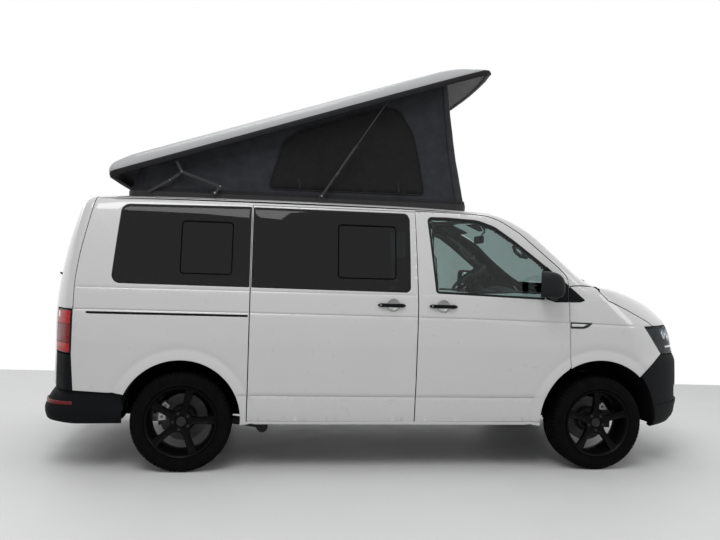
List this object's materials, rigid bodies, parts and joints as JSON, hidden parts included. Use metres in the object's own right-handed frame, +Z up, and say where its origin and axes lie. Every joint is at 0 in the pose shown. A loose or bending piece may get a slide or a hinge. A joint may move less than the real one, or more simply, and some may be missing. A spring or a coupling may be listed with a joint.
{
  "type": "camper van",
  "caption": "Short camper van with a raised pop-up sleeping roof, hinged front doors, bonnet and tailgate, steered front wheels and turning road wheels.",
  "frame": {"origin": "on the ground, midway along the length, on the centre plane", "axes": "+X forward, +Y to the van's left, +Z up"},
  "size_m": [4.8988, 2.296, 2.9545],
  "materials": {
    "white_paint": "gloss clear-coated white",
    "roof_shell_white": "smooth painted moulding",
    "privacy_glass": "dark tinted",
    "clear_glass": "clear with a light green tint",
    "dark_plastic": "fine-grained moulding",
    "gloss_black": "gloss black",
    "lamp_clear": "clear lens over a dark housing",
    "lamp_red": "red lens",
    "cabin_floor": "ribbed mat",
    "cabin_trim": "soft-grained",
    "undercoat": "matt black",
    "cast_metal": "as cast",
    "exhaust_steel": "dull",
    "tyre_rubber": "dusty black",
    "black_alloy": "satin black",
    "seat_fabric": "woven",
    "cabinet_wood": "laminated board",
    "canvas": "coated charcoal tent cloth",
    "roof_rail": "painted grey",
    "black_steel": "satin black",
    "bright_steel": "polished"
  },
  "bodies": {
    "van_body": {"bulkhead": "undercoat", "chassis_rails": "undercoat", "cowl_panel": "dark_plastic", "dashboard": "cabin_trim", "engine_block": "cast_metal", "exhaust": "exhaust_steel", "floor_pan": "cabin_floor", "front_bumper": "dark_plastic", "front_fenders": "white_paint", "front_seats": "seat_fabric", "fuel_tank": "undercoat", "grille": "gloss_black", "headlights": "lamp_clear", "kitchen_cabinet": "cabinet_wood", "left_body_side": "white_paint", "rear_axle": "cast_metal", "rear_bench": "seat_fabric", "rear_bumper": "dark_plastic", "rear_corner_trims": "dark_plastic", "right_body_side": "white_paint", "roof_frame": "roof_rail", "roof_panel": "white_paint", "side_windows": "privacy_glass", "sliding_door": "white_paint", "tail_lights": "lamp_red", "tent_canvas": "canvas", "wheel_boxes": "undercoat", "windshield": "clear_glass"},
    "front_left_door": {"front_left_door": "white_paint", "front_left_window": "clear_glass", "left_mirror": "dark_plastic"},
    "front_right_door": {"front_right_door": "white_paint", "front_right_window": "clear_glass", "right_mirror": "dark_plastic"},
    "tailgate": {"tailgate": "white_paint", "tailgate_window": "privacy_glass"},
    "bonnet": {"bonnet": "white_paint"},
    "left_steered_knuckle": {"left_knuckle": "cast_metal"},
    "right_steered_knuckle": {"right_knuckle": "cast_metal"},
    "front_left_wheel": {"front_left_tyre": "tyre_rubber", "front_left_rim": "black_alloy"},
    "front_right_wheel": {"front_right_tyre": "tyre_rubber", "front_right_rim": "black_alloy"},
    "rear_left_wheel": {"rear_left_tyre": "tyre_rubber", "rear_left_rim": "black_alloy"},
    "rear_right_wheel": {"rear_right_tyre": "tyre_rubber", "rear_right_rim": "black_alloy"},
    "steering_wheel": {"steering_wheel": "cabin_trim"},
    "roof_lift_arms": {"roof_lift_arms": "black_steel"},
    "roof_rear_links": {"roof_rear_links": "black_steel"},
    "pop_up_roof": {"roof_shell": "roof_shell_white"},
    "roof_strut_tubes": {"roof_strut_tubes": "black_steel"},
    "roof_strut_rods": {"roof_strut_rods": "bright_steel"}
  },
  "joints": [
    {"name": "front_left_door_hinge", "type": "hinge", "parent": "van_body", "child": "front_left_door", "pos_m": [1.274, 0.935, 0.9], "axis": [0, 0, -1], "range_deg": [0, 65]},
    {"name": "front_right_door_hinge", "type": "hinge", "parent": "van_body", "child": "front_right_door", "pos_m": [1.274, -0.935, 0.9], "axis": [0, 0, 1], "range_deg": [0, 65]},
    {"name": "tailgate_hinge", "type": "hinge", "parent": "van_body", "child": "tailgate", "pos_m": [-2.116, 0, 1.905], "axis": [0, 1, 0], "range_deg": [0, 88]},
    {"name": "bonnet_hinge", "type": "hinge", "parent": "van_body", "child": "bonnet", "pos_m": [1.515, 0, 1.346], "axis": [0, -1, 0], "range_deg": [0, 50]},
    {"name": "steer_left", "type": "hinge", "parent": "van_body", "child": "left_steered_knuckle", "pos_m": [1.544, 0.745, 0.343], "axis": [0, 0, 1], "range_deg": [-35, 35]},
    {"name": "steer_right", "type": "hinge", "parent": "van_body", "child": "right_steered_knuckle", "pos_m": [1.544, -0.745, 0.343], "axis": [0, 0, 1], "range_deg": [-35, 35]},
    {"name": "steering_wheel_spin", "type": "hinge", "parent": "van_body", "child": "steering_wheel", "pos_m": [0.917, 0.4, 1.377], "axis": [-0.6428, 0, 0.766], "range_deg": [-525, 525]},
    {"name": "front_left_wheel_spin", "type": "hinge", "parent": "left_steered_knuckle", "child": "front_left_wheel", "pos_m": [1.544, 0.814, 0.343], "axis": [0, 1, 0], "continuous": true},
    {"name": "front_right_wheel_spin", "type": "hinge", "parent": "right_steered_knuckle", "child": "front_right_wheel", "pos_m": [1.544, -0.814, 0.343], "axis": [0, 1, 0], "continuous": true},
    {"name": "rear_left_wheel_spin", "type": "hinge", "parent": "van_body", "child": "rear_left_wheel", "pos_m": [-1.456, 0.814, 0.343], "axis": [0, 1, 0], "continuous": true},
    {"name": "rear_right_wheel_spin", "type": "hinge", "parent": "van_body", "child": "rear_right_wheel", "pos_m": [-1.456, -0.814, 0.343], "axis": [0, 1, 0], "continuous": true},
    {"name": "roof_lift_arm_swing", "type": "hinge", "parent": "van_body", "child": "roof_lift_arms", "pos_m": [-1.286, 0, 1.932], "axis": [0, -1, 0], "range_deg": [0, 42.5], "deforming": ["tent_canvas"]},
    {"name": "roof_shell_tilt", "type": "hinge", "parent": "roof_lift_arms", "child": "pop_up_roof", "pos_m": [-1.56, 0, 2.153], "axis": [0, 1, 0], "range_deg": [0, 60.9]},
    {"name": "roof_strut_swing", "type": "hinge", "parent": "van_body", "child": "roof_strut_tubes", "pos_m": [-0.528, 0, 1.944], "axis": [0, 1, 0], "range_deg": [0, 57.39]},
    {"name": "roof_strut_slide", "type": "slide", "parent": "roof_strut_tubes", "child": "roof_strut_rods", "axis": [-0.5443, 0, -0.8389], "range_m": [0, 0.39055]},
    {"name": "roof_rear_link_swing", "type": "hinge", "parent": "van_body", "child": "roof_rear_links", "pos_m": [-1.742, 0, 1.925], "axis": [0, 1, 0], "range_deg": [0, 33]}
  ],
  "couplings": [
    {"joint": "steer_right", "follows": "steer_left", "ratio": 1},
    {"joint": "steering_wheel_spin", "follows": "steer_left", "ratio": 14.8},
    {"joint": "roof_shell_tilt", "follows": "roof_lift_arm_swing", "ratio": 1.4329},
    {"joint": "roof_strut_swing", "follows": "roof_lift_arm_swing", "ratio": 1.3503},
    {"joint": "roof_strut_slide", "follows": "roof_lift_arm_swing", "m_per_rad": 0.52651},
    {"joint": "roof_rear_link_swing", "follows": "roof_lift_arm_swing", "ratio": 0.77647}
  ]
}
